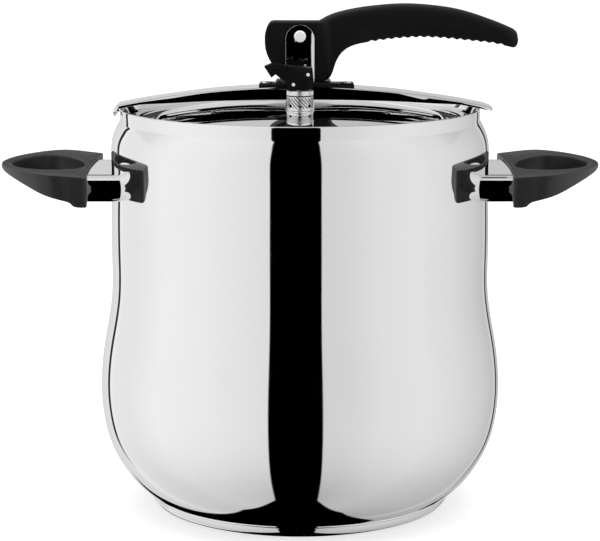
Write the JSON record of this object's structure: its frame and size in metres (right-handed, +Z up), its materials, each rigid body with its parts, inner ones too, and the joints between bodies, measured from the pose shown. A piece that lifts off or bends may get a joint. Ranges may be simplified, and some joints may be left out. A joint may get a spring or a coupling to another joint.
{
  "type": "pressure cooker",
  "caption": "Tall bellied steel stovetop pressure cooker with an inside lid held up by a bridge and cam lever, a vent valve and black side handles.",
  "frame": {"origin": "centre of the flat underside of the base", "axes": "+Z up, +X towards the free end of the cam lever and along the line of the side handles, -Y the front, where the vent valve stands"},
  "size_m": [0.3666, 0.2476, 0.3101],
  "materials": {
    "polished_steel": "mirror polished stainless steel",
    "brushed_steel": "fine brushed steel",
    "zinc_screw": "bright zinc plate",
    "bakelite": "black moulded bakelite, satin",
    "black_pad": "black hard nylon, satin",
    "black_flap": "black moulded plastic, semi-gloss",
    "aluminium_core": "rolled aluminium",
    "rubber_seal": "dark moulded rubber",
    "nickel_valve": "nickel plate over knurled brass",
    "spring_wire": "drawn spring wire",
    "brass_valve": "machined brass"
  },
  "bodies": {
    "pot": {"pot_body": "polished_steel", "base_cap": "polished_steel", "base_core": "aluminium_core", "side_handle_left": "bakelite", "side_handle_right": "bakelite", "handle_bracket_left": "brushed_steel", "handle_bracket_right": "brushed_steel", "handle_cuff_left": "polished_steel", "handle_cuff_right": "polished_steel", "handle_screws_left": "zinc_screw", "handle_screws_right": "zinc_screw", "handle_washers_left": "zinc_screw", "handle_washers_right": "zinc_screw"},
    "bridge": {"bridge": "polished_steel", "cam_pad": "black_pad", "pad_rivets": "polished_steel"},
    "lid": {"lid": "polished_steel", "lid_gasket": "rubber_seal", "lever_bracket": "polished_steel", "bracket_rivets": "polished_steel", "lever_pin": "brushed_steel", "pin_clip": "brushed_steel", "vent_body": "nickel_valve", "vent_cap": "nickel_valve", "vent_seal": "rubber_seal", "vent_nut": "brushed_steel", "vent_pivot_pin": "polished_steel", "safety_body": "brass_valve", "safety_cap": "brass_valve", "safety_seal": "rubber_seal", "safety_nut": "brushed_steel"},
    "lever": {"lever_grip": "bakelite", "lever_core": "brushed_steel", "lever_bush": "brushed_steel"},
    "vent_flap": {"vent_lever": "black_flap", "vent_link_pin": "polished_steel"},
    "vent_needle": {"vent_plunger": "nickel_valve", "vent_spring": "spring_wire"},
    "safety_plug": {"safety_plunger": "brass_valve", "safety_spring": "spring_wire"}
  },
  "joints": [
    {"name": "lid_turn", "type": "hinge", "parent": "pot", "child": "bridge", "pos_m": [0, 0, 0.2475], "axis": [0, 0, 1], "range_deg": [0, 90]},
    {"name": "lid_drop", "type": "slide", "parent": "bridge", "child": "lid", "axis": [0, 0, -1], "range_m": [0, 0.006]},
    {"name": "lever_raise", "type": "hinge", "parent": "lid", "child": "lever", "pos_m": [0, 0, 0.291], "axis": [0, -1, 0], "range_deg": [0, 90]},
    {"name": "vent_flip", "type": "hinge", "parent": "lid", "child": "vent_flap", "pos_m": [0.0048, -0.0315, 0.27019], "axis": [0, 1, 0], "range_deg": [0, 20], "stiffness_Nm_per_rad": 0.0022, "springref_deg": -24.24},
    {"name": "vent_lift", "type": "slide", "parent": "lid", "child": "vent_needle", "axis": [0, 0, 1], "range_m": [0, 0.0033], "deforming": ["vent_spring"]},
    {"name": "safety_lift", "type": "slide", "parent": "lid", "child": "safety_plug", "axis": [0, 0, 1], "range_m": [0, 0.0012], "stiffness_N_per_m": 1500, "springref_m": -0.003, "deforming": ["safety_spring"]}
  ],
  "couplings": [
    {"joint": "lid_drop", "follows": "lever_raise", "m_per_rad": 0.0038197},
    {"joint": "vent_lift", "follows": "vent_flip", "m_per_rad": 0.0094538}
  ]
}
